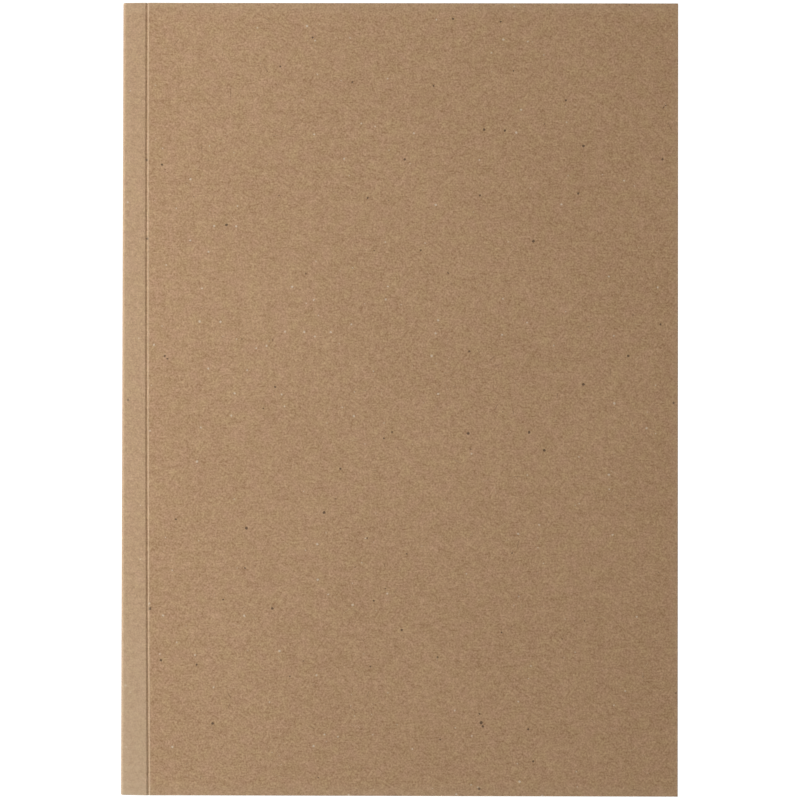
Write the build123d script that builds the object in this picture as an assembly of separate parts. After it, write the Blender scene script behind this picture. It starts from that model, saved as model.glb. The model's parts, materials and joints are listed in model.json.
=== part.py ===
"""Pocket notebook: thread-sewn paper sections in a creased kraft board cover.

Almost every piece is a flat outline seen from the tail, extruded from tail to head, so the notebook
is drawn standing: X from spine to fore edge, Y from front cover to back cover, Z from tail to head.
It is then laid on its back cover, head towards +Y, with the origin under its middle. Millimetres.
"""

import os

from build123d import *

# Cover board
cover_width = 103.85  # outer face of the spine to the fore edge
cover_height = 148.0
board = 0.40
strip_drop = 0.30  # how much nearer to the pages the glued strip lies at the spine than at the crease
spine_corner = 0.25  # inside radius where the board wraps round onto the spine

# Crease that each cover opens along
crease_from_spine = 4.75
crease_width = 0.85
crease_depth = 0.18
crease_split = 0.06  # the board is parted here so that the cover can turn
hinge_clear = 0.05  # the hinge line stands this far outside the cover's face

# Paper
paper = 0.09
air = 0.01  # between one leaf and the next
sheets = 6  # folded sheets in a section, each of them two leaves
section_count = 5
trim_step = 0.10  # the leaves stand this far inside the cover on the three trimmed sides
bend_inset = 0.30  # crease to the line where a leaf that turns starts to bend
bend_gap = 0.05  # parting between a turning leaf and the bound part of its sheet

# Glue and lining
side_glue = 0.05  # thinnest glue between the strip and the first leaf
side_glue_inset = 0.30  # the glue stops short of the crease
side_glue_room = 0.01  # clearance under the strip
lining = 0.12
lining_inset = 6.0  # the lining cloth stops short of head and tail
lining_margin = 0.32  # and of the block's front and back
glue_base = 0.32  # glue between the lining and the backs of the folds
glue_rise = 0.34  # how far the glue fills the valleys between folds
glue_inset = 0.5  # the glue stops short of head and tail
fold_room = 0.01  # clearance between the glue and the folds

# Sewing
thread = 0.20
thread_room = 0.01
hole_room = 0.04
station_count = 6
kettle_inset = 12.0  # first and last sewing hole, from the ends of the leaves
thread_bend = 0.13

# What follows from those sizes
leaf_pitch = paper + air
centre_gap = thread + 2 * thread_room
section_depth = 2 * sheets * leaf_pitch + centre_gap
block_depth = section_count * section_depth
cover_gap = side_glue + strip_drop
notebook_depth = block_depth + 2 * (cover_gap + board)

spine_x = -cover_width / 2
fore_x = cover_width / 2
crease_x = spine_x + crease_from_spine
front_y = -notebook_depth / 2
block_front_y = -block_depth / 2

lining_x = spine_x + board
glue_x = lining_x + lining
fold_back_x = glue_x + glue_base
fold_radius = section_depth / 2 - air / 2
fold_x = fold_back_x + fold_radius
thread_radius = thread / 2
thread_out_x = fold_back_x - thread_room - thread_radius

leaf_fore_x = fore_x - trim_step
leaf_tail_z = trim_step
leaf_height = cover_height - 2 * trim_step
bend_x = crease_x + bend_inset

station_pitch = (leaf_height - 2 * kettle_inset) / (station_count - 1)
stations = [leaf_tail_z + kettle_inset + n * station_pitch for n in range(station_count)]


def section_y(number):
    """Middle of section 1, 2, ... counted from the front cover."""
    return block_front_y + (number - 0.5) * section_depth


def leg_radii(rank):
    """Inner and outer distance of a folded sheet from the section's middle; rank 0 is the innermost."""
    inner = centre_gap / 2 + rank * leaf_pitch + air / 2
    return inner, inner + paper


def block(x, y, z):
    """A box from its low and high limits along each axis."""
    size = [high - low for low, high in (x, y, z)]
    middle = [(low + high) / 2 for low, high in (x, y, z)]
    return Pos(*middle) * Box(*size)


def prism(points, z, height):
    """A polygon in XY, extruded up from z."""
    return Pos(0, 0, z) * extrude(make_face(Polyline(*points, close=True)), height)


def mirror_to_back(shape):
    return mirror(shape, about=Plane.XZ)


# Cover board

def cover_panel():
    """The front cover from the crease to the fore edge, with its half of the creased groove."""
    split_x = crease_x + crease_split / 2
    groove_x = crease_x + crease_width / 2
    outline = [
        (split_x, front_y + crease_depth),
        (groove_x, front_y),
        (fore_x, front_y),
        (fore_x, front_y + board),
        (split_x, front_y + board),
    ]
    return prism(outline, 0, cover_height)


def wrap_side(inset, corner):
    """One side of the spine wrap's outline: a U that opens to the right, standing in by the inset."""
    start_x = crease_x
    edge_x = spine_x + inset
    near = front_y + inset
    far = front_y + strip_drop + inset
    face = make_face(Polyline((start_x, near), (edge_x, far), (edge_x, -far), (start_x, -near), close=True))
    corners = [v for v in face.vertices() if abs(v.X - edge_x) < board / 10]
    return fillet(corners, corner)


def spine_wrap():
    """The board between the two creases: front strip, spine and back strip in one piece."""
    room = wrap_side(board, spine_corner)
    opening = Pos(board, 0, 0) * room
    u_shape = wrap_side(0, spine_corner + board) - room - opening
    wrap = extrude(u_shape, cover_height)
    groove = [
        (crease_x - crease_width / 2, front_y),
        (crease_x - crease_split / 2, front_y + crease_depth),
        (crease_x - crease_split / 2, front_y + 2 * board),
        (crease_x + board, front_y + 2 * board),
        (crease_x + board, front_y - board),
        (crease_x - crease_width / 2, front_y - board),
    ]
    cut = prism(groove, 0, cover_height)
    return wrap - cut - mirror_to_back(cut)


# Glue and lining

def strip_inner_y(x):
    """Inner face of the front strip at x."""
    share = (crease_x - x) / (crease_from_spine - board)
    return front_y + board + strip_drop * share


def side_glue_strip():
    """Wedge of glue between the front strip and the first leaf."""
    near_x = fold_x
    far_x = crease_x - side_glue_inset
    outline = [
        (near_x, strip_inner_y(near_x) + side_glue_room),
        (far_x, strip_inner_y(far_x) + side_glue_room),
        (far_x, block_front_y),
        (near_x, block_front_y),
    ]
    return prism(outline, leaf_tail_z + glue_inset, leaf_height - 2 * glue_inset)


def spine_lining():
    """Open-weave lining cloth over the glued folds."""
    half = block_depth / 2 - lining_margin
    low = leaf_tail_z + lining_inset
    return block((lining_x, glue_x), (-half, half), (low, low + leaf_height - 2 * lining_inset))


def thread_slots():
    """Room in the glue for the sewing thread that runs outside the folds."""
    reach = thread_radius + thread_room
    x = (thread_out_x - reach, fold_x)
    slots = []
    for number in range(1, section_count + 1):
        y = section_y(number)
        slots.append(block(x, (y - reach, y + reach), (stations[0] - thread, stations[-1] + thread)))
    for number in range(1, section_count):
        z = link_z(number)
        slots.append(block(x, (section_y(number), section_y(number + 1)), (z - reach, z + reach)))
    return slots


def spine_glue():
    """Glue between the lining and the folds, filling the valley between each two sections."""
    half = block_depth / 2
    low = leaf_tail_z + glue_inset
    glue = block((glue_x, fold_back_x + glue_rise), (-half, half), (low, low + leaf_height - 2 * glue_inset))
    for number in range(1, section_count + 1):
        back = Pos(fold_x, section_y(number), cover_height / 2)
        glue -= back * Cylinder(fold_radius + fold_room, cover_height)
    return glue - thread_slots()


# Paper

def sewing_holes(number):
    """Pins through the back of a section at its sewing stations, to cut its holes with."""
    length = fold_x - spine_x
    turn = Rot(0, 90, 0)
    radius = thread_radius + hole_room
    return [Pos(spine_x + length / 2, section_y(number), z) * turn * Cylinder(radius, length) for z in stations]


def folded_sheet(number, rank, end_x):
    """One sheet of a section: two legs from the fold to end_x, and the fold that joins them."""
    y = section_y(number)
    inner, outer = leg_radii(rank)
    with BuildSketch() as outline:
        with BuildLine():
            Line((end_x, y + inner), (fold_x, y + inner))
            ThreePointArc((fold_x, y + inner), (fold_x - inner, y), (fold_x, y - inner))
            Line((fold_x, y - inner), (end_x, y - inner))
            Line((end_x, y - inner), (end_x, y - outer))
            Line((end_x, y - outer), (fold_x, y - outer))
            ThreePointArc((fold_x, y - outer), (fold_x - outer, y), (fold_x, y + outer))
            Line((fold_x, y + outer), (end_x, y + outer))
            Line((end_x, y + outer), (end_x, y + inner))
        make_face()
    return Pos(0, 0, leaf_tail_z) * extrude(outline.sketch, leaf_height) - sewing_holes(number)


def section(number):
    """The folded sheets of a section. The outer sections keep only the part bound at the spine."""
    leaves_turn = number in (1, section_count)
    end_x = bend_x - bend_gap if leaves_turn else leaf_fore_x
    return [folded_sheet(number, rank, end_x) for rank in range(sheets)]


def turning_leaf(number, place):
    """The free part of one leaf of an outer section; place 0 is the leaf nearest the front cover."""
    front_leg = place < sheets
    rank = sheets - 1 - place if front_leg else place - sheets
    inner, outer = leg_radii(rank)
    side = -1 if front_leg else 1
    y = sorted(section_y(number) + side * radius for radius in (inner, outer))
    return block((bend_x, leaf_fore_x), y, (leaf_tail_z, leaf_tail_z + leaf_height))


# Sewing

def link_z(number):
    """Height where the thread passes from this section to the next: at the head, then the tail."""
    return stations[-1] if number % 2 else stations[0]


def sewing_thread(number):
    """The thread of one section: in and out through its fold, then across to the next section."""
    y = section_y(number)
    climb = stations if number % 2 else stations[::-1]
    points = []
    for n, z in enumerate(climb):
        pair = [thread_out_x, fold_x] if n % 2 == 0 else [fold_x, thread_out_x]
        points += [(x, y, z) for x in pair]
    if number < section_count:
        points.append((thread_out_x, section_y(number + 1) - thread - thread_room, climb[-1]))
    path = FilletPolyline(*points, radius=thread_bend)
    start = Plane(origin=points[0], z_dir=path % 0)
    return sweep(start * Circle(thread_radius), path=path)


def lay_down(shape):
    """From standing on the tail to lying on the back cover."""
    return Pos(0, -cover_height / 2, notebook_depth / 2) * Rot(-90, 0, 0) * shape


def write(name, solids):
    if isinstance(solids, list):
        shape = Compound(children=[lay_down(solid) for solid in solids])
    else:
        shape = lay_down(solids)
    shape.label = name
    export_step(shape, f"parts/{name}.step")


def main():
    os.makedirs("parts", exist_ok=True)
    front = cover_panel()
    write("front_cover", front)
    write("back_cover", mirror_to_back(front))
    write("spine_wrap", spine_wrap())
    write("front_side_glue", side_glue_strip())
    write("back_side_glue", mirror_to_back(side_glue_strip()))
    write("spine_lining", spine_lining())
    write("spine_glue", spine_glue())
    for number in range(1, section_count + 1):
        write(f"section_{number}", section(number))
        write(f"thread_{number}", sewing_thread(number))
    last_first = 2 * sheets * (section_count - 1)
    for place in range(2 * sheets):
        write(f"leaf_{place + 1:02d}", turning_leaf(1, place))
        write(f"leaf_{last_first + place + 1:02d}", turning_leaf(section_count, place))
    print(f"closed notebook {cover_width} x {cover_height} x {notebook_depth:.2f} mm")
    print(f"hinge lines at x {crease_x:.3f}, z {notebook_depth + hinge_clear:.3f} and {-hinge_clear:.3f} mm")


main()
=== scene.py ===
import json
import math
import random

import bpy
from mathutils import Euler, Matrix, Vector


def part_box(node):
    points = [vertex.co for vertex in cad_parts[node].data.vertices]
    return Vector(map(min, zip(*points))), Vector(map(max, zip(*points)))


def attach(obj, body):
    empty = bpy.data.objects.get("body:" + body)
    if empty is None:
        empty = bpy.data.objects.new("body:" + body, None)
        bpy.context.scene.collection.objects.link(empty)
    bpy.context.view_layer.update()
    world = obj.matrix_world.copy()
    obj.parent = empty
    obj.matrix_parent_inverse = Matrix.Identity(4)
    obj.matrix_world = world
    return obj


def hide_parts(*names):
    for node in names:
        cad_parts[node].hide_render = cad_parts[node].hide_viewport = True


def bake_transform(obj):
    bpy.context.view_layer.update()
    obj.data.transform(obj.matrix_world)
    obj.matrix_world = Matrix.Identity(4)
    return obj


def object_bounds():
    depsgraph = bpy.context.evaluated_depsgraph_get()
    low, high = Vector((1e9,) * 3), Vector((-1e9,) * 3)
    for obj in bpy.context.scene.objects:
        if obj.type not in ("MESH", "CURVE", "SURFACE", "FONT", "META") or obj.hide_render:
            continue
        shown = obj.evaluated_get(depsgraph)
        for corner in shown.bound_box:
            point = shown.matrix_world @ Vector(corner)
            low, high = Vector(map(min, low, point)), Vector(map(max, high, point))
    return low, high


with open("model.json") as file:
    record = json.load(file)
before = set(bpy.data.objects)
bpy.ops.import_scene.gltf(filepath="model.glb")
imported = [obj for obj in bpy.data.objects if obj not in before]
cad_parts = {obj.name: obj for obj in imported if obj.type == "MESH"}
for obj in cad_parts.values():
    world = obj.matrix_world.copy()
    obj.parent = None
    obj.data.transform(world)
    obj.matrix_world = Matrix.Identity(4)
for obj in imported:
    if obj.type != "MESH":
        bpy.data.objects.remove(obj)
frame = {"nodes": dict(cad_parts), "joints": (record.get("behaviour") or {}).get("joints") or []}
cadLow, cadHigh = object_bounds()
mm = 0.001

# places that the pieces share, all from the frame
hinges = {joint["name"]: joint for joint in frame["joints"]}
creaseX = hinges["front_cover_hinge"]["pos_m"][0]
coverLow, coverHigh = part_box("front_cover")
boardThick = coverHigh.z - coverLow.z
topZ, bottomZ = cadHigh.z, cadLow.z
middleZ = (topZ + bottomZ) / 2
spineX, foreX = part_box("spine_wrap")[0].x, coverHigh.x
tailY, headY = coverLow.y, coverHigh.y


# maths on sockets

class Wire:
    # one socket of a graph; arithmetic on it adds Math nodes
    def __init__(self, graph, socket):
        self.graph = graph
        self.socket = socket

    def __add__(self, other):
        return self.graph.maths("ADD", self, other)

    def __radd__(self, other):
        return self.graph.maths("ADD", other, self)

    def __sub__(self, other):
        return self.graph.maths("SUBTRACT", self, other)

    def __rsub__(self, other):
        return self.graph.maths("SUBTRACT", other, self)

    def __mul__(self, other):
        return self.graph.maths("MULTIPLY", self, other)

    def __rmul__(self, other):
        return self.graph.maths("MULTIPLY", other, self)

    def __truediv__(self, other):
        return self.graph.maths("DIVIDE", self, other)

    def __gt__(self, other):
        return self.graph.maths("GREATER_THAN", self, other)

    def __lt__(self, other):
        return self.graph.maths("LESS_THAN", self, other)


class Graph:
    # builds one node tree, for a material or for Geometry Nodes
    def __init__(self, tree):
        self.tree = tree

    def node(self, kind, settings=None, inputs=None, output=0):
        made = self.tree.nodes.new(kind)
        for name, value in (settings or {}).items():
            setattr(made, name, value)
        for name, value in (inputs or {}).items():
            self.plug(made.inputs[name], value)
        return Wire(self, made.outputs[output])

    def plug(self, socket, value):
        if isinstance(value, Wire):
            self.tree.links.new(value.socket, socket)
        else:
            socket.default_value = value

    def maths(self, operation, *values):
        settings = {"operation": operation}
        return self.node("ShaderNodeMath", settings, dict(enumerate(values)))

    def limit(self, value):
        # keeps a value from 0 to 1
        return self.maths("MINIMUM", self.maths("MAXIMUM", value, 0.0), 1.0)

    def smooth(self, value, start, end):
        # 0 below start and 1 above end, or the other way round when end is the lower
        inputs = {0: value, 1: start, 2: end, 3: 0.0, 4: 1.0}
        return self.node("ShaderNodeMapRange", {"interpolation_type": "SMOOTHSTEP"}, inputs)

    def blendColour(self, factor, first, second):
        settings = {"data_type": "RGBA"}
        return self.node("ShaderNodeMix", settings, {0: factor, 6: first, 7: second}, 2)

    def noise(self, place, size, detail=2.0, roughness=0.5):
        # size is the width of one cloud of it, in metres
        inputs = {"Vector": place, "Scale": 1 / size, "Detail": detail, "Roughness": roughness}
        return self.node("ShaderNodeTexNoise", {}, inputs)

    def turned(self, place, angle=0.0, shift=(0, 0, 0), scale=(1, 1, 1)):
        inputs = {"Vector": place, "Location": shift, "Rotation": (0, 0, angle), "Scale": scale}
        return self.node("ShaderNodeMapping", {}, inputs)


def opaque(colour):
    return (*colour, 1.0)


def newMaterial(name, specular, sheen=0.0):
    material = bpy.data.materials.new(name)
    material.use_nodes = True
    graph = Graph(material.node_tree)
    shader = material.node_tree.nodes["Principled BSDF"]
    shader.inputs["Specular IOR Level"].default_value = specular
    shader.inputs["Sheen Weight"].default_value = sheen
    return material, graph, shader


def setSurface(graph, shader, colour, roughness, mask=None):
    # roughness is one value, or a pair that the mask runs between
    graph.plug(shader.inputs["Base Color"], colour)
    if mask is not None:
        smoothest, roughest = roughness
        roughness = smoothest + (roughest - smoothest) * mask
    graph.plug(shader.inputs["Roughness"], roughness)


def addRelief(graph, shader, height, depth):
    # height is 0 to 1, depth is how far 1 stands out, in metres
    inputs = {"Height": height, "Distance": depth, "Strength": 1.0}
    graph.plug(shader.inputs["Normal"], graph.node("ShaderNodeBump", {}, inputs))


# kraft board

kraft = {
    "yellowish": (0.572, 0.376, 0.200),  # the pale end of the grain drifts between these two
    "pinkish": (0.592, 0.362, 0.220),
    "dark": (0.328, 0.178, 0.086),
    # worn edges and the painted highlight both blend toward this paler tone
    "rubbedTone": (0.550, 0.398, 0.258),
    "hueSize": 2.6 * mm,
    "hueContrast": 2.5,
    "cloudSize": 26 * mm,
    "mottleSize": 3.2 * mm,
    "grainSize": 0.95 * mm,
    "fineSize": 0.36 * mm,
    "cloudShare": 0.22,
    "mottleShare": 0.34,
    "grainShare": 0.90,
    "fineShare": 1.60,
    "strokeSize": 0.256 * mm,
    "strokeLong": 9,  # how many times longer than wide
    "strokeTurns": (0.25, 1.35, 2.45),
    "strokeShares": (0.20, -0.22, 0.14),  # pale, dark and pale again
    "strokeEdge": (0.60, 0.72),  # the noise values where a stroke fades in
    "darkSpeck": (0.12, 0.07, 0.038),
    "darkCell": 3.0 * mm,
    "darkRadius": 0.21 * mm,
    "darkShare": 0.90,
    "paleSpeck": (0.82, 0.71, 0.56),
    "paleCell": 2.2 * mm,
    "paleRadius": 0.17 * mm,
    "paleShare": 0.45,
    "speckChance": 0.6,
    "speckLeast": 0.35,  # the smallest speck, as a share of the radius
    "speckWarp": 0.25 * mm,  # how ragged a speck's outline is
    "speckEdge": (1.25, 0.75),
    "driftSize": 0.4 * mm,
    "grainRelief": 0.40,
    "fineRelief": 0.75,
    "strokeRelief": (0.15, 0.12),  # the pale strokes stand up
    "speckRelief": 0.2,
    "reliefDepth": 0.055 * mm,
    "roughness": (0.74, 0.90),
    "specular": 0.25,
    "sheen": 0.12,
}


def kraftStrokes(graph, place, turn, seedShift):
    # short matted fibres lying one way, as a mask
    long = kraft["strokeLong"]
    along = graph.turned(place, turn, (seedShift, seedShift * 0.37, 0), (1.0 / long, 1.0, 1.0))
    lines = graph.noise(along, kraft["strokeSize"], 1.0)
    return graph.smooth(lines, *kraft["strokeEdge"])


def kraftSpecks(graph, place, cell, radius, shift):
    # scattered bits of bark and bleached pulp, one at most to a cell
    far = kraft["speckWarp"]
    warp = graph.noise(place, far, 1.0)
    drift = graph.node("ShaderNodeTexNoise", {}, {"Vector": place, "Scale": 1 / kraft["driftSize"]}, 1)
    moved = graph.node("ShaderNodeVectorMath", {"operation": "MULTIPLY_ADD"}, {
        0: drift, 1: (far, far, 0.0), 2: graph.turned(place, 0.0, (shift, shift, 0))})
    inputs = {"Vector": moved, "Scale": 1 / cell, "Randomness": 1.0}
    distance = graph.node("ShaderNodeTexVoronoi", {}, inputs, "Distance")
    colour = graph.node("ShaderNodeTexVoronoi", {}, inputs, "Color")
    pick = graph.node("ShaderNodeSeparateColor", {}, {0: colour}, 0)
    size = graph.node("ShaderNodeSeparateColor", {}, {0: colour}, 1)
    reach = (kraft["speckLeast"] + size) * (radius / cell) * (0.7 + 0.6 * warp)
    inside = graph.smooth(distance / reach, *kraft["speckEdge"])
    return inside * (pick < kraft["speckChance"])


def kraftMaterial():
    material, graph, shader = newMaterial("kraftBoard", kraft["specular"], kraft["sheen"])
    place = graph.node("ShaderNodeUVMap", {"uv_map": "boardUv"})
    wearAndHighlight = graph.node("ShaderNodeAttribute", {"attribute_name": "edgeWear"}, {}, "Fac")
    cloud = graph.noise(place, kraft["cloudSize"], 3.0)
    mottle = graph.noise(place, kraft["mottleSize"], 3.0)
    grain = graph.noise(place, kraft["grainSize"], 2.0, 0.6)
    fine = graph.noise(graph.turned(place, 0.6, (0.31, 0.17, 0)), kraft["fineSize"], 1.0, 0.6)
    tone = 0.5 + kraft["cloudShare"] * (cloud - 0.5) + kraft["mottleShare"] * (mottle - 0.5)
    tone = tone + kraft["grainShare"] * (grain - 0.5) + kraft["fineShare"] * (fine - 0.5)
    strokes = [kraftStrokes(graph, place, turn, n * 0.11) for n, turn in enumerate(kraft["strokeTurns"])]
    for stroke, share in zip(strokes, kraft["strokeShares"]):
        tone = tone + share * stroke
    hue = graph.limit(0.5 + kraft["hueContrast"] * (graph.noise(place, kraft["hueSize"], 1.0) - 0.5))
    pale = graph.blendColour(hue, opaque(kraft["yellowish"]), opaque(kraft["pinkish"]))
    colour = graph.blendColour(graph.limit(tone), opaque(kraft["dark"]), pale)
    darkBits = kraftSpecks(graph, place, kraft["darkCell"], kraft["darkRadius"], 0.0)
    paleBits = kraftSpecks(graph, place, kraft["paleCell"], kraft["paleRadius"], 0.5)
    colour = graph.blendColour(darkBits * kraft["darkShare"], colour, opaque(kraft["darkSpeck"]))
    colour = graph.blendColour(paleBits * kraft["paleShare"], colour, opaque(kraft["paleSpeck"]))
    # paler where the cut edges and spine corners are worn, and painted highlight where the strip and the
    # groove's fore wall face the key light
    wornAndLitShare = graph.limit(wearAndHighlight * (0.55 + 0.9 * grain))
    colour = graph.blendColour(wornAndLitShare, colour, opaque(kraft["rubbedTone"]))
    setSurface(graph, shader, colour, kraft["roughness"], grain)
    height = kraft["grainRelief"] * grain + kraft["fineRelief"] * fine
    for stroke, share in zip(strokes[::2], kraft["strokeRelief"]):
        height = height + share * stroke
    addRelief(graph, shader, height - kraft["speckRelief"] * darkBits, kraft["reliefDepth"])
    return material


# writing paper

page = {
    "tone": (0.790, 0.725, 0.625),
    "dark": (0.720, 0.650, 0.545),
    "lineTone": (0.430, 0.465, 0.500),
    "linePitch": 6.0 * mm,
    "lineWidth": 0.22 * mm,
    "headMargin": 14 * mm,
    "footMargin": 8 * mm,
    "lineStrength": 0.55,
    "cloudSize": 12 * mm,
    "cloudShare": 0.5,
    "fibreSize": 0.5 * mm,
    "fibreShare": 0.8,
    "reliefDepth": 0.008 * mm,
    "roughness": (0.78, 0.92),
    "specular": 0.2,
    "sheen": 0.05,
}


def pageMaterial(name, ruled):
    material, graph, shader = newMaterial(name, page["specular"], page["sheen"])
    if ruled:
        place = graph.node("ShaderNodeUVMap", {"uv_map": "pageUv"})
    else:
        place = graph.node("ShaderNodeTexCoord", {}, {}, "Object")
    cloud = graph.noise(place, page["cloudSize"], 3.0)
    fibre = graph.noise(place, page["fibreSize"], 3.0, 0.65)
    tone = graph.limit(0.55 + page["cloudShare"] * (cloud - 0.5) + page["fibreShare"] * (fibre - 0.5))
    colour = graph.blendColour(tone, opaque(page["dark"]), opaque(page["tone"]))
    if ruled:
        up = graph.node("ShaderNodeSeparateXYZ", {}, {0: place}, 1)
        turn = graph.maths("FRACT", (headY - up) / page["linePitch"])
        away = graph.maths("ABSOLUTE", turn - 0.5) * page["linePitch"]
        line = graph.smooth(away, page["lineWidth"] * 0.7, page["lineWidth"] * 0.3)
        line = line * (up < headY - page["headMargin"]) * (up > tailY + page["footMargin"])
        colour = graph.blendColour(line * page["lineStrength"], colour, opaque(page["lineTone"]))
    setSurface(graph, shader, colour, page["roughness"], fibre)
    addRelief(graph, shader, fibre, page["reliefDepth"])
    return material


# glue, lining cloth, thread and loose fibres

glue = {
    "tone": (0.90, 0.85, 0.70),
    "shade": (0.78, 0.71, 0.52),
    "rippleSize": 1.4 * mm,
    "reliefDepth": 0.05 * mm,
    "roughness": (0.32, 0.62),
    "specular": 0.45,
}


def glueMaterial():
    material, graph, shader = newMaterial("bindingGlue", glue["specular"])
    place = graph.node("ShaderNodeTexCoord", {}, {}, "Object")
    ripple = graph.noise(place, glue["rippleSize"], 3.0)
    colour = graph.blendColour(ripple, opaque(glue["shade"]), opaque(glue["tone"]))
    setSurface(graph, shader, colour, glue["roughness"], ripple)
    addRelief(graph, shader, ripple, glue["reliefDepth"])
    return material


cloth = {
    "tone": (0.80, 0.77, 0.68),
    "shade": (0.42, 0.39, 0.32),
    "threadPitch": 0.7 * mm,
    "fuzzSize": 0.6 * mm,
    "reliefDepth": 0.06 * mm,
    "roughness": (0.85, 0.95),
    "specular": 0.15,
    "sheen": 0.2,
}


def clothMaterial():
    material, graph, shader = newMaterial("liningCloth", cloth["specular"], cloth["sheen"])
    place = graph.node("ShaderNodeTexCoord", {}, {}, "Object")
    turns = 2 * math.pi / cloth["threadPitch"]
    along = graph.maths("SINE", graph.node("ShaderNodeSeparateXYZ", {}, {0: place}, 1) * turns)
    across = graph.maths("SINE", graph.node("ShaderNodeSeparateXYZ", {}, {0: place}, 2) * turns)
    weave = graph.limit(0.5 + 0.35 * along + 0.35 * across)
    colour = graph.blendColour(weave, opaque(cloth["shade"]), opaque(cloth["tone"]))
    setSurface(graph, shader, colour, cloth["roughness"], graph.noise(place, cloth["fuzzSize"]))
    addRelief(graph, shader, weave, cloth["reliefDepth"])
    return material


thread = {
    "tone": (0.90, 0.88, 0.80),
    "shade": (0.66, 0.62, 0.52),
    "plyLength": 0.35 * mm,
    "plySlant": 1.5,
    "reliefDepth": 0.03 * mm,
    "roughness": (0.5, 0.7),
    "specular": 0.35,
    "sheen": 0.1,
}


def threadMaterial():
    material, graph, shader = newMaterial("sewingThread", thread["specular"], thread["sheen"])
    place = graph.node("ShaderNodeTexCoord", {}, {}, "Object")
    across = graph.node("ShaderNodeSeparateXYZ", {}, {0: place}, 0)
    along = graph.node("ShaderNodeSeparateXYZ", {}, {0: place}, 1)
    slanted = along + thread["plySlant"] * across
    ply = 0.5 + 0.5 * graph.maths("SINE", slanted * (2 * math.pi / thread["plyLength"]))
    colour = graph.blendColour(ply, opaque(thread["shade"]), opaque(thread["tone"]))
    setSurface(graph, shader, colour, thread["roughness"], ply)
    addRelief(graph, shader, ply, thread["reliefDepth"])
    return material


fibreLook = {
    "pale": (0.68, 0.50, 0.33),
    "dark": (0.15, 0.085, 0.045),
    "roughness": 0.7,
    "specular": 0.3,
    "sheen": 0.1,
}


def fibreMaterial():
    material, graph, shader = newMaterial("kraftFibre", fibreLook["specular"], fibreLook["sheen"])
    tone = graph.node("ShaderNodeAttribute", {"attribute_name": "fibreTone"}, {}, "Fac")
    colour = graph.blendColour(tone, opaque(fibreLook["dark"]), opaque(fibreLook["pale"]))
    setSurface(graph, shader, colour, fibreLook["roughness"])
    return material


print("materials")
kraftBoard = kraftMaterial()
ruledPaper = pageMaterial("ruledPaper", True)
plainPaper = pageMaterial("foldedPaper", False)
bindingGlue = glueMaterial()
liningCloth = clothMaterial()
sewingThread = threadMaterial()
kraftFibre = fibreMaterial()


# sheets as closed meshes

def steps(start, end, count):
    return [start + (end - start) * n / count for n in range(count + 1)]


def smoothShare(value):
    value = min(max(value, 0.0), 1.0)
    return value * value * (3 - 2 * value)


def growing(start, end, first, most, growth=1.35):
    # distances that start at the first step and widen to the largest one
    found, step = [start], first
    while found[-1] + 1.5 * step < end:
        found.append(found[-1] + step)
        step = min(step * growth, most)
    return found + [end]


def sheetMesh(name, columns, rows, skins, uvName, uvAt, marks=None, flip=False, crisp=()):
    # a closed sheet: skins(column, row) gives the points of its outer and inner face
    # crisp lists the columns whose rim keeps a hard edge; "all" keeps the whole rim hard
    width, height = len(columns), len(rows)
    pairs = [[skins(column, row) for row in rows] for column in columns]
    points = [pair[0] for line in pairs for pair in line] + [pair[1] for line in pairs for pair in line]
    inner = width * height
    faces = []
    for i in range(width - 1):
        for j in range(height - 1):
            a, b = i * height + j, (i + 1) * height + j
            faces.append((a, b, b + 1, a + 1))
            faces.append((inner + a, inner + a + 1, inner + b + 1, inner + b))
    rim = [i * height for i in range(width)]
    rim += [(width - 1) * height + j for j in range(1, height)]
    rim += [i * height + height - 1 for i in range(width - 2, -1, -1)]
    rim += [j for j in range(height - 2, 0, -1)]
    for here, there in zip(rim, rim[1:] + rim[:1]):
        faces.append((there, here, inner + here, inner + there))
    if flip:
        faces = [face[::-1] for face in faces]
    mesh = bpy.data.meshes.new(name)
    mesh.from_pydata([tuple(point) for point in points], [], faces)
    mesh.shade_smooth()
    hard = set(rim) if crisp == "all" else {i * height + j for i in crisp for j in range(height)}
    hard |= {inner + point for point in hard}
    sharp = mesh.attributes.new("sharp_edge", "BOOLEAN", "EDGE")
    ends = [tuple(edge.vertices) for edge in mesh.edges]
    sharp.data.foreach_set("value", [a in hard and b in hard and abs(a - b) < inner for a, b in ends])
    flat = [uvAt(column, row) for column in columns for row in rows] * 2
    layer = mesh.uv_layers.new(name=uvName)
    for loop in mesh.loops:
        layer.data[loop.index].uv = flat[loop.vertex_index]
    if marks:
        # worn edges plus painted highlight, which the kraft colour reads
        attribute = mesh.attributes.new("edgeWear", "FLOAT", "POINT")
        attribute.data.foreach_set("value", [marks(column, row) for column in columns for row in rows] * 2)
    mesh.update()
    made = bpy.data.objects.new(name, mesh)
    bpy.context.scene.collection.objects.link(made)
    return made


# board cover: two panels and the wrap round the spine

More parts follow.
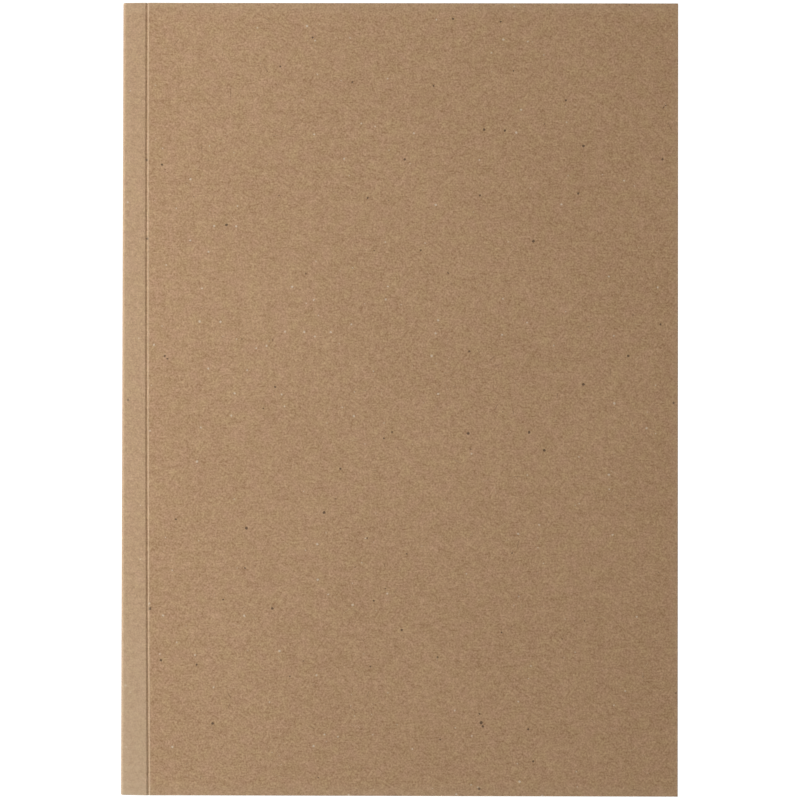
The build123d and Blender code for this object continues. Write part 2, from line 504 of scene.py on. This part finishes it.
board = {
    "spineWall": 0.46 * mm,  # width of the groove's wall on the spine's side
    "foreWall": 0.25 * mm,
    "grooveDepth": 0.170 * mm,
    "creaseHead": -0.12 * mm,  # the groove isn't quite parallel to the hinge line
    "creaseTail": 0.56 * mm,
    "innerRidge": 0.06 * mm,
    "seamBack": 0.75 * mm,  # the panels begin this far on the spine's side of the crease
    "bendHalf": 0.50 * mm,
    "headDrop": 0.20 * mm,  # how far the strip falls from the crease to the spine
    "tailDrop": 0.34 * mm,
    "headRub": 0.22,  # how much painted highlight the strip, which tilts toward the key light, gets at the head
    "tailRub": 0.55,
    "rubReach": 50 * mm,  # the tail's extra painted highlight fades out over this length
    # painted highlight on the groove's fore wall, which faces the key light
    "creaseRub": 0.52,
    "creaseRubHalf": 0.25 * mm,
    "spineRub": 0.12,
    "cutRub": 0.5,
    "cutRubReach": 0.15 * mm,
    "cornerRadius": 0.65 * mm,
    "cutRound": 0.10 * mm,
    "cutSteps": (0.0, 0.25, 0.6, 1.0, 1.6),  # rows beside a cut edge, as shares of its rounding
    "wave": 0.035 * mm,
    "waveStart": 6 * mm,  # it grows over this distance from the crease
    "waveTurns": (71, 47, 31, 39),  # radians to a metre
    "grooveColumns": 44,
    "wrapColumns": (14, 10, 6),  # strip, corner and half of the spine
    "firstStep": 0.1 * mm,
    "columnStep": 1.6 * mm,
    "rowStep": 2.4 * mm,
}


def cutRows():
    # rows from tail to head, close together where the cut edge is rounded
    low = [tailY + share * board["cutRound"] for share in board["cutSteps"]]
    high = [headY - share * board["cutRound"] for share in reversed(board["cutSteps"])]
    count = int((high[0] - low[-1]) / board["rowStep"])
    return low + steps(low[-1], high[0], count)[1:-1] + high


def cutShare(distance):
    # the part of the board's half thickness that is left at this distance from a cut edge
    half, radius = boardThick / 2, board["cutRound"]
    left = max(radius - distance, 0.0)
    return (half - radius + math.sqrt(radius ** 2 - left ** 2)) / half


def cutDistance(x, y, foreEdge=True):
    found = min(y - tailY, headY - y)
    return min(found, foreX - x) if foreEdge else found


def cutRub(distance):
    return board["cutRub"] * math.exp(-distance / board["cutRubReach"])


def stripSlope(y):
    share = smoothShare((y - tailY) / (headY - tailY))
    drop = board["tailDrop"] + (board["headDrop"] - board["tailDrop"]) * share
    return math.atan(drop / (creaseX - spineX))


def grooveX(y):
    share = (y - tailY) / (headY - tailY)
    return creaseX + board["creaseHead"] + (board["creaseTail"] - board["creaseHead"]) * (1 - share) ** 2


def groove(x, y):
    away = x - grooveX(y)
    return smoothShare(1 - abs(away) / (board["spineWall"] if away < 0 else board["foreWall"]))


def panelWave(x, y):
    # the board isn't quite flat: it sinks a little between crease and fore edge
    along = smoothShare((x - creaseX) / board["waveStart"])
    across, up, slantX, slantY = board["waveTurns"]
    ripple = math.sin(x * across + 0.8) * math.cos(y * up + 0.3) + 0.5 * math.sin(x * slantX - y * slantY)
    return board["wave"] * along * (0.75 + 0.5 * ripple)


def panelSkins(x, y):
    # outer and inner point of the front cover; the back one is its mirror image
    outer = topZ - max(0.0, creaseX - x) * math.tan(stripSlope(y)) - panelWave(x, y)
    inner = outer - boardThick - board["innerRidge"] * groove(x, y)
    outer -= board["grooveDepth"] * groove(x, y)
    middle = (outer + inner) / 2
    share = cutShare(cutDistance(x, y))
    return (x, y, middle + (outer - middle) * share), (x, y, middle + (inner - middle) * share)


def upsideDown(point):
    return point[0], point[1], 2 * middleZ - point[2]


# painted highlight on the strip by the spine, which tilts toward the key light; it grows toward the tail
def stripHighlight(y):
    nearTail = smoothShare(1 - (y - tailY) / board["rubReach"])
    return board["headRub"] + (board["tailRub"] - board["headRub"]) * nearTail


# worn cut edges, plus painted highlight on the strip and on the groove's fore wall, which face the key
# light
def panelWearAndHighlight(x, y):
    fromGroove = x - grooveX(y)
    onStrip = smoothShare(0.5 - fromGroove / (0.5 * mm))
    shoulder = smoothShare(1 - abs(fromGroove - board["foreWall"] * 0.8) / board["creaseRubHalf"])
    return cutRub(cutDistance(x, y)) + stripHighlight(y) * onStrip + board["creaseRub"] * shoulder


def coverPanel(name, node, mirrored):
    start = creaseX - board["seamBack"]
    fine = creaseX + board["creaseTail"] + board["foreWall"] * 1.2
    near = [foreX - share * board["cutRound"] for share in reversed(board["cutSteps"])]
    wide = growing(fine, near[0], board["firstStep"], board["columnStep"])
    columns = steps(start, fine, board["grooveColumns"]) + wide[1:] + near[1:]

    def skins(x, y):
        outer, inner = panelSkins(x, y)
        return (upsideDown(outer), upsideDown(inner)) if mirrored else (outer, inner)

    def uvAt(x, y):
        return (x, y) if not mirrored else (2 * spineX - (topZ - bottomZ) - x, y)

    panel = sheetMesh(name, columns, cutRows(), skins, "boardUv", uvAt, panelWearAndHighlight, mirrored, (0,))
    panel.data.materials.append(kraftBoard)
    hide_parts(node)
    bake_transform(panel)


def wrapStation(share, y):
    # share 0 to 1 runs along the front strip, 1 to 2 round its corner, 2 to 3 down half of the spine
    slope = stripSlope(y)
    outerRadius = board["cornerRadius"]
    centreX = spineX + outerRadius
    centreZ = topZ - (creaseX - centreX) * math.tan(slope) - outerRadius / math.cos(slope)
    tangentX = centreX - outerRadius * math.sin(slope)
    if share <= 1:
        start = creaseX - board["seamBack"]
        x = start + (tangentX - start) * share
        z = topZ - (creaseX - x) * math.tan(slope)
        normal = Vector((-math.sin(slope), 0, math.cos(slope)))
        return Vector((x, y, z)), normal * min(1.0, share * 4) + Vector((0, 0, 1)) * max(0.0, 1 - share * 4)
    if share <= 2:
        angle = (math.pi / 2 + slope) * (2 - share) + math.pi * (share - 1)
        normal = Vector((math.cos(angle), 0, math.sin(angle)))
        return Vector((centreX, y, centreZ)) + normal * outerRadius, normal
    z = centreZ + (middleZ - centreZ) * (share - 2)
    return Vector((spineX, y, z)), Vector((-1, 0, 0))


def wrapSkins(share, y):
    mirrored = share > 3
    outer, normal = wrapStation(6 - share if mirrored else share, y)
    inner = outer - normal * boardThick
    middle = (outer + inner) / 2
    left = cutShare(cutDistance(0, y, False))
    pair = middle + (outer - middle) * left, middle + (inner - middle) * left
    return tuple(upsideDown(point) for point in pair) if mirrored else tuple(map(tuple, pair))


def wrapUv(share, y):
    # runs on from the front panel, round the spine and into the back panel
    half = (topZ - bottomZ) / 2
    outer = wrapStation(6 - share if share > 3 else share, 0.0)[0]
    travel = outer.x - (topZ - outer.z if share not in (0.0, 6.0) else 0.0)
    if share > 3:
        travel = 2 * (spineX - half) - travel
    return travel, y


def wrapWearAndHighlight(share, y):
    # the strips get the most painted highlight and the spine the least, and the two corners are worn a
    # little more than the spine
    corner = max(0.0, 1 - abs(share - 1.5), 1 - abs(share - 4.5))
    onStrip = smoothShare(abs(share - 3) / 0.8 - 1.2)
    stripLit = stripHighlight(y) * (0.3 + 0.7 * onStrip)
    return cutRub(cutDistance(0, y, False)) + stripLit + board["spineRub"] * smoothShare(corner)


def spineWrap():
    strip, corner, spine = board["wrapColumns"]
    half = steps(0, 1, strip) + steps(1, 2, corner)[1:] + steps(2, 3, spine)[1:]
    columns = half + [6 - share for share in reversed(half[:-1])]
    ends = (0, len(columns) - 1)
    wrap = sheetMesh("spineWrap", columns, cutRows(), wrapSkins, "boardUv", wrapUv, wrapWearAndHighlight, True, ends)
    wrap.data.materials.append(kraftBoard)
    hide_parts("spine_wrap")
    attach(wrap, "block")


print("board cover")
coverPanel("frontCoverBoard", "front_cover", False)
coverPanel("backCoverBoard", "back_cover", True)
spineWrap()


# leaves that turn

leaves = {
    "shortBend": 8 * mm,  # the outermost leaf turns within this distance of the crease
    "longBend": 24 * mm,  # and the innermost one, which turns least, within this
    "coverGap": 0.05 * mm,  # between the cover and the first leaf, at the fore edge
    "settle": 18 * mm,  # the leaves even out over this distance
    "edgeScatter": 0.07 * mm,
    "wave": 0.012 * mm,
    "waveAcross": 95,  # radians to a metre
    "waveUp": 60,
    "bendColumns": 40,
    "firstStep": 0.4 * mm,
    "columnStep": 4 * mm,
    "rows": 30,
    "seed": 7,
}
firstLow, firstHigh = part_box("leaf_01")
leafThick = firstHigh.z - firstLow.z
leafPitch = firstLow.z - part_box("leaf_02")[0].z
turning = sorted(node for node in frame["nodes"] if node.startswith("leaf_"))
leafCount = int(turning[-1][-2:])
foreStackTop = topZ - boardThick - leaves["coverGap"]
evenPitch = (foreStackTop - (bottomZ + boardThick + leaves["coverGap"])) / leafCount


def evenZ(number):
    # where a leaf lies at the fore edge, once the block has settled
    return foreStackTop - (number - 0.5) * evenPitch


def leafWave(x, y, number):
    across = math.sin(x * leaves["waveAcross"] + number * 2.3)
    return leaves["wave"] * (across * math.cos(y * leaves["waveUp"] + number * 1.1))


def turningLeaf(node):
    low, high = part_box(node)
    number = int(node[-2:])
    draw = random.Random(leaves["seed"] * 1000 + number)
    foreTrim, tailTrim, headTrim = [draw.uniform(0, leaves["edgeScatter"]) for side in range(3)]
    boundZ = (low.z + high.z) / 2

    def skins(x, y):
        settled = smoothShare((x - low.x) / leaves["settle"])
        z = boundZ + (evenZ(number) - boundZ) * settled + leafWave(x, y, number) * settled
        return (x, y, z + leafThick / 2), (x, y, z - leafThick / 2)

    rank = number - 1 if number <= leafCount / 2 else leafCount - number
    rankShare = rank / (len(turning) / 2 - 1)
    bendEnd = low.x + leaves["shortBend"] + (leaves["longBend"] - leaves["shortBend"]) * rankShare ** 1.5
    wide = growing(bendEnd, high.x - foreTrim, leaves["firstStep"], leaves["columnStep"])
    columns = steps(low.x, bendEnd, leaves["bendColumns"]) + wide[1:]
    rows = steps(low.y + tailTrim, high.y - headTrim, leaves["rows"])
    name = "leafSheet" + node[-2:]
    leaf = sheetMesh(name, columns, rows, skins, "pageUv", lambda x, y: (x, y), crisp="all")
    leaf.data.materials.append(ruledPaper)
    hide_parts(node)
    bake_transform(leaf)


print("turning leaves", len(turning))
for leafNode in turning:
    turningLeaf(leafNode)


# Geometry Nodes helpers

def newTree(name, sockets):
    # a modifier tree with named inputs; gives the graph, its input wires and the socket identifiers
    tree = bpy.data.node_groups.new(name, "GeometryNodeTree")
    tree.interface.new_socket("Geometry", in_out="OUTPUT", socket_type="NodeSocketGeometry")
    found = {}
    for label, kind in sockets.items():
        socket = tree.interface.new_socket(label, in_out="INPUT", socket_type="NodeSocket" + kind)
        found[label] = socket.identifier
    graph = Graph(tree)
    entry = tree.nodes.new("NodeGroupInput")
    wires = {label: Wire(graph, entry.outputs[label]) for label in sockets}
    return graph, wires, found


def endTree(graph, geometry, material):
    real = graph.node("GeometryNodeRealizeInstances", {}, {0: geometry})
    painted = graph.node("GeometryNodeSetMaterial", {}, {"Geometry": real, "Material": material})
    leave = graph.tree.nodes.new("NodeGroupOutput")
    graph.plug(leave.inputs[0], painted)


def growTree(name, graph, found, values):
    # runs the tree on an empty mesh and keeps the result as a plain mesh
    seedObject = bpy.data.objects.new(name + "Seed", bpy.data.meshes.new(name + "Seed"))
    bpy.context.scene.collection.objects.link(seedObject)
    modifier = seedObject.modifiers.new("grow", "NODES")
    modifier.node_group = graph.tree
    for label, value in values.items():
        modifier[found[label]] = value
    depsgraph = bpy.context.evaluated_depsgraph_get()
    mesh = bpy.data.meshes.new_from_object(seedObject.evaluated_get(depsgraph))
    bpy.data.objects.remove(seedObject)
    mesh.name = name
    made = bpy.data.objects.new(name, mesh)
    bpy.context.scene.collection.objects.link(made)
    return made


def named(graph, name):
    return graph.node("GeometryNodeInputNamedAttribute", {"data_type": "FLOAT"}, {"Name": name})


def keep(graph, geometry, name, value, domain="INSTANCE", kind="FLOAT"):
    settings = {"data_type": kind, "domain": domain}
    inputs = {"Geometry": geometry, "Name": name, "Value": value}
    return graph.node("GeometryNodeStoreNamedAttribute", settings, inputs)


def combine(graph, x, y, z):
    return graph.node("ShaderNodeCombineXYZ", {}, {0: x, 1: y, 2: z})


def chance(graph, low, high, seed):
    inputs = {2: low, 3: high, "Seed": seed}
    return graph.node("FunctionNodeRandomValue", {"data_type": "FLOAT"}, inputs, 1)


# folded sheets of the inner sections

inner = {
    "legShare": 0.42,  # part of the grid's columns that each leg takes
    "columns": 64,
    "rows": 26,
    "waveSize": 24 * mm,
    "mergeDistance": 0.002 * mm,
    "seed": 11.0,
    "scatterSeed": 5,
}


def foldedSheetsTree():
    graph, wires, found = newTree("foldedSheets", {
        "Sheets": "Int", "Sheets to a section": "Int", "Thickness": "Float", "Bound pitch": "Float",
        "Inner radius": "Float", "Even pitch": "Float", "Section depth": "Float", "Leg length": "Float",
        "Leaf height": "Float", "Fold place": "Vector", "Settle": "Float", "Scatter": "Float",
        "Wave": "Float", "Seed": "Float", "Paper": "Material"})
    grid = graph.node("GeometryNodeMeshGrid", {}, {
        "Size X": 1.0, "Size Y": 1.0, "Vertices X": inner["columns"], "Vertices Y": inner["rows"]})
    flat = graph.node("GeometryNodeInputPosition")
    part = graph.node("ShaderNodeSeparateXYZ", {}, {0: flat}, 0)
    side = graph.node("ShaderNodeSeparateXYZ", {}, {0: flat}, 1)
    grid = keep(graph, grid, "along", part + 0.5, "POINT")
    grid = keep(graph, grid, "upward", side, "POINT")
    points = graph.node("GeometryNodePoints", {}, {"Count": wires["Sheets"]})
    stack = graph.node("GeometryNodeInstanceOnPoints", {}, {"Points": points, "Instance": grid})
    stack = keep(graph, stack, "number", graph.node("GeometryNodeInputIndex"))
    sheets = graph.node("GeometryNodeRealizeInstances", {}, {0: stack})

    number = named(graph, "number")
    section = graph.maths("FLOOR", (number + 0.001) / wires["Sheets to a section"])
    rank = number - section * wires["Sheets to a section"]
    legLength, leafHeight = wires["Leg length"], wires["Leaf height"]
    legShare = inner["legShare"]
    along = named(graph, "along")
    firstLeg = graph.limit(along / legShare)
    fold = graph.limit((along - legShare) / (1 - 2 * legShare)) * math.pi
    lastLeg = graph.limit((along - (1 - legShare)) / legShare)
    reach = (1 - firstLeg) + lastLeg  # 0 at the fold, 1 at the fore edge
    radius = wires["Inner radius"] + rank * wires["Bound pitch"]
    even = (rank + 0.5) * wires["Even pitch"]
    settled = graph.smooth(reach * legLength, 0.0, wires["Settle"])
    height = graph.maths("COSINE", fold) * (radius + (even - radius) * settled)
    ripple = graph.node("ShaderNodeTexNoise", {"noise_dimensions": "4D"}, {
        "Vector": combine(graph, reach * legLength, named(graph, "upward") * leafHeight, 0.0),
        "W": number + wires["Seed"], "Scale": 1 / inner["waveSize"], "Detail": 1.0}) - 0.5
    leafId = number * 7 + graph.maths("SIGN", along - 0.5)  # one for each leaf of each sheet
    scatter = graph.node("FunctionNodeRandomValue", {"data_type": "FLOAT"}, {
        "ID": leafId, "Seed": inner["scatterSeed"]}, 1)
    x = reach * (legLength - wires["Scatter"] * scatter) - radius * graph.maths("SINE", fold)
    y = named(graph, "upward") * (leafHeight - wires["Scatter"] * scatter)
    evenDepth = wires["Even pitch"] * wires["Sheets to a section"] * 2
    depth = wires["Section depth"] + (evenDepth - wires["Section depth"]) * settled
    below = section + 0.5 - 0.5 * wires["Sheets"] / wires["Sheets to a section"]
    z = height - below * depth + ripple * wires["Wave"] * settled
    place = graph.node("ShaderNodeVectorMath", {"operation": "ADD"},
                       {0: combine(graph, x, y, z), 1: wires["Fold place"]})
    sheets = graph.node("GeometryNodeSetPosition", {}, {"Geometry": sheets, "Position": place})
    uv = combine(graph, x + graph.node("ShaderNodeSeparateXYZ", {}, {0: wires["Fold place"]}, 0), y, 0.0)
    sheets = keep(graph, sheets, "pageUv", uv, "CORNER", "FLOAT2")

    # paper gets its thickness: the skin is pushed out along its normals, and a turned copy closes it
    skin = graph.node("GeometryNodeExtrudeMesh", {"mode": "FACES"}, {
        "Mesh": sheets, "Offset Scale": wires["Thickness"], "Individual": False})
    under = graph.node("GeometryNodeFlipFaces", {}, {"Mesh": sheets})
    both = graph.tree.nodes.new("GeometryNodeJoinGeometry")
    graph.tree.links.new(skin.socket, both.inputs[0])
    graph.tree.links.new(under.socket, both.inputs[0])
    whole = graph.node("GeometryNodeMergeByDistance", {}, {
        "Geometry": Wire(graph, both.outputs[0]), "Distance": inner["mergeDistance"]})
    endTree(graph, whole, wires["Paper"])
    return graph, found


def innerSheets():
    graph, found = foldedSheetsTree()
    sections = sorted(node for node in frame["nodes"] if node.startswith("section_"))
    sheetsEach = round(leafCount / 2 / len(sections))
    whole = sections[1:-1]  # the first and the last section's leaves turn with the covers
    low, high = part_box(whole[0])
    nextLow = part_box(whole[1])[0]
    outerRadius = (high.z - low.z) / 2
    foldX = low.x + outerRadius
    values = {
        "Sheets": len(whole) * sheetsEach,
        "Sheets to a section": sheetsEach,
        "Thickness": leafThick,
        "Bound pitch": leafPitch,
        "Inner radius": outerRadius - leafThick / 2 - leafPitch * (sheetsEach - 1),
        "Even pitch": evenPitch,
        "Section depth": low.z - nextLow.z,
        "Leg length": high.x - foldX,
        "Leaf height": high.y - low.y,
        "Fold place": (foldX, (low.y + high.y) / 2, middleZ),
        "Settle": leaves["settle"],
        "Scatter": leaves["edgeScatter"],
        "Wave": leaves["wave"] * 2,
        "Seed": inner["seed"],
        "Paper": ruledPaper,
    }
    sheets = growTree("innerSheets", graph, found, values)
    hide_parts(*whole)
    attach(sheets, "block")


print("inner sections")
innerSheets()


# loose fibres on the board's faces

fibres = {
    "diameter": 0.032 * mm,
    "shortest": 0.5 * mm,
    "longest": 1.7 * mm,
    "curl": 0.30 * mm,
    "perSquareMetre": 26000,
    "darkShare": 0.30,
    "creaseMargin": 1.2 * mm,
    "foreMargin": 0.8 * mm,
    "endMargin": 1 * mm,
    "spineShare": 0.7,  # part of the spine's width that has fibres
    "firstSeed": 3,
}


def fibresTree():
    graph, wires, found = newTree("boardFibres", {
        "Width": "Float", "Height": "Float", "Centre": "Vector", "Turn": "Vector",
        "Density": "Float", "Diameter": "Float", "Shortest": "Float", "Longest": "Float",
        "Curl": "Float", "Dark share": "Float", "Seed": "Int", "Fibre": "Material"})
    face = graph.node("GeometryNodeMeshGrid", {}, {
        "Size X": wires["Width"], "Size Y": wires["Height"], "Vertices X": 2, "Vertices Y": 2})
    points = graph.node("GeometryNodeDistributePointsOnFaces", {}, {
        "Mesh": face, "Density": wires["Density"], "Seed": wires["Seed"]})
    bow = graph.node("GeometryNodeCurveQuadraticBezier", {}, {
        "Resolution": 5, "Start": (-0.5, 0, 0), "Middle": (0, 0.5, 0), "End": (0.5, 0, 0)})
    spin = chance(graph, 0.0, 2 * math.pi, wires["Seed"])
    long = chance(graph, wires["Shortest"], wires["Longest"], wires["Seed"] + 1)
    curl = chance(graph, -1.0, 1.0, wires["Seed"] + 2)
    stretch = combine(graph, long, curl * wires["Curl"], 1.0)
    placed = graph.node("GeometryNodeInstanceOnPoints", {}, {
        "Points": points, "Instance": bow, "Rotation": combine(graph, 0.0, 0.0, spin), "Scale": stretch})
    dark = chance(graph, 0.0, 1.0, wires["Seed"] + 3)
    placed = keep(graph, placed, "fibreTone", dark > wires["Dark share"])
    lines = graph.node("GeometryNodeRealizeInstances", {}, {0: placed})
    ring = graph.node("GeometryNodeCurvePrimitiveCircle", {}, {
        "Resolution": 4, "Radius": wires["Diameter"] / 2})
    tubes = graph.node("GeometryNodeCurveToMesh", {}, {
        "Curve": lines, "Profile Curve": ring, "Fill Caps": True})
    moved = graph.node("GeometryNodeTransform", {}, {
        "Geometry": tubes, "Translation": wires["Centre"], "Rotation": wires["Turn"]})
    endTree(graph, moved, wires["Fibre"])
    return graph, found


def boardFibres(name, body, width, centre, turn, seed):
    made = growTree(name, fibreGraph, fibreSockets, {
        "Width": width, "Height": headY - tailY - 2 * fibres["endMargin"], "Centre": centre, "Turn": turn,
        "Density": fibres["perSquareMetre"], "Diameter": fibres["diameter"],
        "Shortest": fibres["shortest"], "Longest": fibres["longest"], "Curl": fibres["curl"],
        "Dark share": fibres["darkShare"], "Seed": seed, "Fibre": kraftFibre})
    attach(made, body)


print("board fibres")
fibreGraph, fibreSockets = fibresTree()
panelStart = creaseX + fibres["creaseMargin"]
panelEnd = foreX - fibres["foreMargin"]
panelWide, panelCentre = panelEnd - panelStart, (panelStart + panelEnd) / 2
spineWide = (topZ - bottomZ) * fibres["spineShare"]
sunk = board["wave"] * 0.75  # the board's mean wave
fibrePlaces = [
    ("frontFibres", "front_cover", panelWide, (panelCentre, 0, topZ - sunk), (0, 0, 0)),
    ("backFibres", "back_cover", panelWide, (panelCentre, 0, bottomZ + sunk), (math.pi, 0, 0)),
    ("spineFibres", "block", spineWide, (spineX, 0, middleZ), (0, -math.pi / 2, 0)),
]
for order, fibrePlace in enumerate(fibrePlaces):
    boardFibres(*fibrePlace, fibres["firstSeed"] + order)


# finishes for the CAD pieces that stay

def paint(node, material):
    frame["nodes"][node].data.materials.clear()
    frame["nodes"][node].data.materials.append(material)


for nodeName in frame["nodes"]:
    if nodeName.startswith("thread_"):
        paint(nodeName, sewingThread)
    elif nodeName.endswith("glue"):
        paint(nodeName, bindingGlue)
    elif nodeName.startswith("section_"):
        paint(nodeName, plainPaper)
paint("spine_lining", liningCloth)


# studio

studio = {
    "floorTone": (0.86, 0.86, 0.86),
    "floorGlow": 0.86,
    "floorRoughness": 0.9,
    "floorSpecular": 0.1,
    "floorDrop": 600 * mm,  # the floor lies well below, so that the covers can swing right round
    "floorReach": 20,
    "roomTone": (1.03, 0.93, 0.72),
    "roomStrength": 0.106,
    "backdropStrength": 1.02,  # a pale band of the surroundings, behind low views
    "backdropTop": (0.18, 0.36),  # where the band starts to fade and where it ends, as height over distance
    "keyPlace": (-0.36, 0.02, 0.25),
    "keySize": (0.26, 0.14),
    "keyTone": (0.89, 1.0, 1.13),
    "keyPower": 1.425,
    "topPlace": (-0.20, 0.07, 0.38),
    "topSize": (0.35, 0.35),
    "topTone": (1.0, 0.97, 0.92),
    "topPower": 0.72,
    "lens": 85,
    "sensor": 36,
    "frameHeight": 149.25 * mm,
    "aim": (0.07 * mm, -0.22 * mm),
    "elevation": 89.5,
    "sideways": 0.2,
    "roll": 0.11,
}


def softLight(name, place, size, tone, power):
    data = bpy.data.lights.new(name, "AREA")
    data.shape = "RECTANGLE"
    data.size, data.size_y = size
    data.color = tone
    data.energy = power
    light = bpy.data.objects.new(name, data)
    light.location = place
    light.rotation_euler = (Vector((0, 0, topZ)) - Vector(place)).to_track_quat("-Z", "Y").to_euler()
    light.visible_camera = False
    bpy.context.scene.collection.objects.link(light)


def studioFloor():
    material, graph, shader = newMaterial("paleFloor", studio["floorSpecular"])
    setSurface(graph, shader, opaque(studio["floorTone"]), studio["floorRoughness"])
    shader.inputs["Emission Color"].default_value = opaque((1.0, 1.0, 1.0))
    shader.inputs["Emission Strength"].default_value = studio["floorGlow"]
    mesh = bpy.data.meshes.new("paleFloor")
    reach = studio["floorReach"]
    corners = [(-reach, -reach, 0), (reach, -reach, 0), (reach, reach, 0), (-reach, reach, 0)]
    mesh.from_pydata(corners, [], [(0, 1, 2, 3)])
    mesh.materials.append(material)
    floor = bpy.data.objects.new("paleFloor", mesh)
    floor.location = (0, 0, bottomZ - studio["floorDrop"])
    bpy.context.scene.collection.objects.link(floor)


def studioRoom():
    world = bpy.data.worlds.new("studioRoom")
    world.use_nodes = True
    graph = Graph(world.node_tree)
    shader = world.node_tree.nodes["Background"]
    direction = graph.node("ShaderNodeTexCoord", {}, {}, "Generated")
    height = graph.node("ShaderNodeSeparateXYZ", {}, {0: direction}, 2)
    fadeStart, fadeEnd = studio["backdropTop"]
    band = graph.smooth(height, fadeEnd, fadeStart)
    colour = graph.blendColour(band, opaque(studio["roomTone"]), opaque((1.0, 1.0, 1.0)))
    graph.plug(shader.inputs["Color"], colour)
    extra = studio["backdropStrength"] - studio["roomStrength"]
    graph.plug(shader.inputs["Strength"], studio["roomStrength"] + extra * band)
    bpy.context.scene.world = world


def studioCamera():
    data = bpy.data.cameras.new("cameraAbove")
    data.lens = studio["lens"]
    data.sensor_width = studio["sensor"]
    data.clip_start = 0.01
    distance = studio["frameHeight"] * data.lens / data.sensor_width
    camera = bpy.data.objects.new("cameraAbove", data)
    tilt, sideways = math.radians(90 - studio["elevation"]), math.radians(studio["sideways"])
    away = Vector((math.sin(sideways), -math.sin(tilt), math.cos(tilt) * math.cos(sideways)))
    camera.location = Vector((*studio["aim"], topZ)) + distance * away
    camera.rotation_euler = Euler((tilt, sideways, math.radians(studio["roll"])), "XYZ")
    bpy.context.scene.collection.objects.link(camera)
    bpy.context.scene.camera = camera


print("studio")
studioFloor()
softLight("keyLight", studio["keyPlace"], studio["keySize"], studio["keyTone"], studio["keyPower"])
softLight("topLight", studio["topPlace"], studio["topSize"], studio["topTone"], studio["topPower"])
studioRoom()
bpy.context.scene.view_settings.view_transform = "Standard"
studioCamera()
